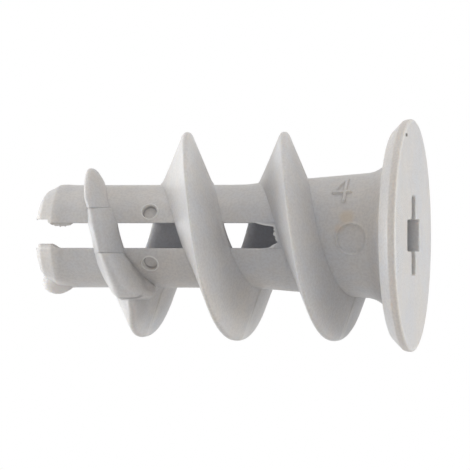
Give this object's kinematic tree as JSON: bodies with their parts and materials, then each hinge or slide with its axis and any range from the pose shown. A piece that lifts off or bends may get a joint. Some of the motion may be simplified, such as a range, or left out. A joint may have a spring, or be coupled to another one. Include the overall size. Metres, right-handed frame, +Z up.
{
  "type": "drywall anchor",
  "caption": "Self-drilling drywall anchor: deep helical flight with a toothed first turn, slotted hollow shank and a wide flat head with a cross recess.",
  "frame": {"origin": "centre of the head's flat face, on the surface that the anchor stands on", "axes": "+Z up along the anchor's axis, from its head to its tip; -Y the side that the picture shows, with the torn slot end and the teeth"},
  "size_m": [0.0134, 0.0136, 0.022],
  "materials": {
    "nylon": "satin, light grey, slightly translucent"
  },
  "bodies": {
    "root": {"anchor_body": "nylon"}
  },
  "joints": []
}
